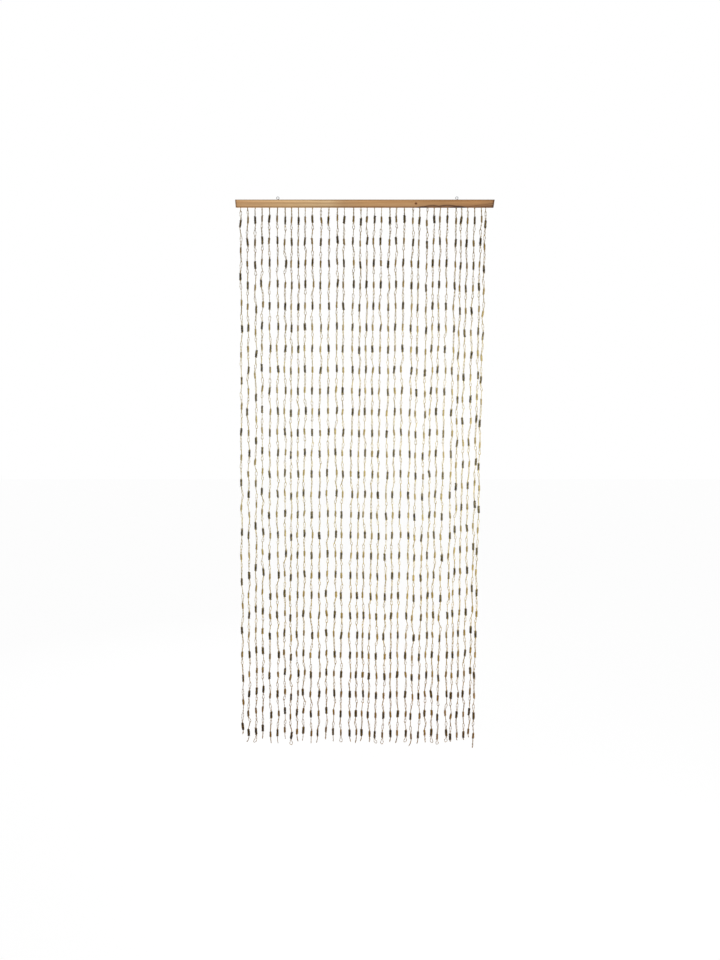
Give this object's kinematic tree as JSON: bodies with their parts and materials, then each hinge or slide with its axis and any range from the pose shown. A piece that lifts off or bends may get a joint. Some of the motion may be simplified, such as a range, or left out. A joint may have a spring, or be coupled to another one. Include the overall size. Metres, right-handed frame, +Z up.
{
  "type": "knotted string door curtain with wooden rail",
  "caption": "Door curtain of knotted natural cord strings that hang side by side from a wooden rail with two screw eyes on top.",
  "frame": {"origin": "middle of the line that the curtain hangs from, halfway across the rail and level with the inner tops of the two screw eyes", "axes": "+Z up, +X to the right along the rail as seen from the front, -Y towards the viewer"},
  "size_m": [0.9056, 0.018, 1.9974],
  "materials": {
    "rail_wood": "satin",
    "eye_zinc": "dull zinc plating",
    "string_cord": "matte, slightly silky"
  },
  "bodies": {
    "root": {"rail": "rail_wood", "eye_left": "eye_zinc", "eye_right": "eye_zinc", "string_01": "string_cord", "string_02": "string_cord", "string_03": "string_cord", "string_04": "string_cord", "string_05": "string_cord", "string_06": "string_cord", "string_07": "string_cord", "string_08": "string_cord", "string_09": "string_cord", "string_10": "string_cord", "string_11": "string_cord", "string_12": "string_cord", "string_13": "string_cord", "string_14": "string_cord", "string_15": "string_cord", "string_16": "string_cord", "string_17": "string_cord", "string_18": "string_cord", "string_19": "string_cord", "string_20": "string_cord", "string_21": "string_cord", "string_22": "string_cord", "string_23": "string_cord", "string_24": "string_cord", "string_25": "string_cord", "string_26": "string_cord", "string_27": "string_cord", "string_28": "string_cord", "string_29": "string_cord", "string_30": "string_cord", "string_31": "string_cord", "string_32": "string_cord", "string_33": "string_cord", "string_34": "string_cord", "string_35": "string_cord"}
  },
  "joints": []
}
